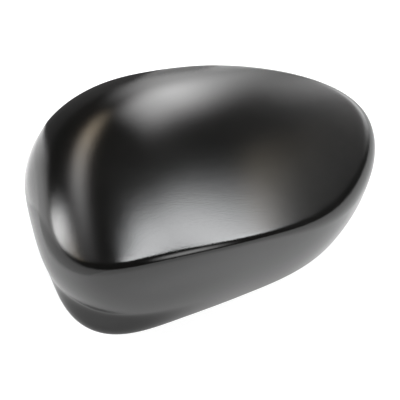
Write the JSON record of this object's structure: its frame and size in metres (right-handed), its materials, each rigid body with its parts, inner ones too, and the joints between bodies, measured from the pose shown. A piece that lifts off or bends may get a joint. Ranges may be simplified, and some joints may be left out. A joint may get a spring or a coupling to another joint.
{
  "type": "wing mirror cover",
  "caption": "Moulded wing mirror cover: a domed shell with a blunt end, a narrow tip, a creased skirt and hidden clips that hold it on the mirror housing.",
  "frame": {"origin": "middle of the cover's box, on the plane of the rim", "axes": "+X from the blunt inner end to the narrow tip, +Y to the far side, +Z from the rim up to the crown"},
  "size_m": [0.2028, 0.151, 0.0805],
  "materials": {
    "cover": "satin black moulded plastic with a fine grain"
  },
  "bodies": {
    "root": {"mirror_cover": "cover"}
  },
  "joints": []
}
